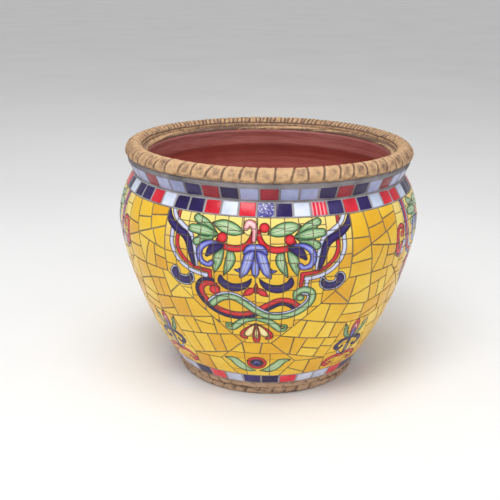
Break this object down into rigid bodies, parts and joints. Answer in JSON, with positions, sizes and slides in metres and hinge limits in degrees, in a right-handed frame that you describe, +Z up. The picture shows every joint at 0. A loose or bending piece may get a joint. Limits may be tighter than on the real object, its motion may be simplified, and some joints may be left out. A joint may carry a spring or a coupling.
{
  "type": "ceramic flower pot",
  "caption": "Wide round flower pot of fired clay with a scalloped rim, a drain hole and an outer skin of broken glazed tiles, square-cut tile bands and painted panels.",
  "frame": {"origin": "middle of the base, on the floor that the pot stands on", "axes": "+Z up along the pot's axis; -Y faces the front, through the middle of the front panel"},
  "size_m": [0.433, 0.433, 0.3405],
  "materials": {
    "terracotta": "matt fired clay",
    "tan_rim_clay": "half-matt stained clay",
    "brown_foot_clay": "matt stained clay",
    "mortar": "rough",
    "grey_grout": "rough",
    "red_glaze": "gloss",
    "navy_glaze": "gloss",
    "pale_blue_glaze": "gloss",
    "white_glaze": "gloss",
    "speckled_blue_glaze": "gloss",
    "painted_yellow_glaze": "gloss, painted with strapwork and leaves",
    "yellow_glaze": "gloss"
  },
  "bodies": {
    "root": {"clay_pot": "terracotta", "field_grout": "grey_grout", "field_tiles_back": "yellow_glaze", "field_tiles_front": "yellow_glaze", "field_tiles_left": "yellow_glaze", "field_tiles_right": "yellow_glaze", "flower_tiles_back": "painted_yellow_glaze", "flower_tiles_front": "painted_yellow_glaze", "flower_tiles_left": "painted_yellow_glaze", "flower_tiles_right": "painted_yellow_glaze", "foot_coil": "brown_foot_clay", "foot_grout": "grey_grout", "foot_tiles_navy": "navy_glaze", "foot_tiles_pale": "pale_blue_glaze", "foot_tiles_red": "red_glaze", "mortar_bed": "mortar", "neck_grout": "grey_grout", "neck_tiles_navy": "navy_glaze", "neck_tiles_pale": "pale_blue_glaze", "neck_tiles_red": "red_glaze", "panel_tiles_back": "painted_yellow_glaze", "panel_tiles_front": "painted_yellow_glaze", "panel_tiles_left": "painted_yellow_glaze", "panel_tiles_right": "painted_yellow_glaze", "rim_coil": "tan_rim_clay", "rim_lip": "tan_rim_clay", "shoulder_grout": "grey_grout", "shoulder_tiles_navy": "navy_glaze", "shoulder_tiles_red": "red_glaze", "shoulder_tiles_speckled": "speckled_blue_glaze", "shoulder_tiles_white": "white_glaze", "stem_tiles_back_left": "painted_yellow_glaze", "stem_tiles_back_right": "painted_yellow_glaze", "stem_tiles_front_left": "painted_yellow_glaze", "stem_tiles_front_right": "painted_yellow_glaze"}
  },
  "joints": []
}
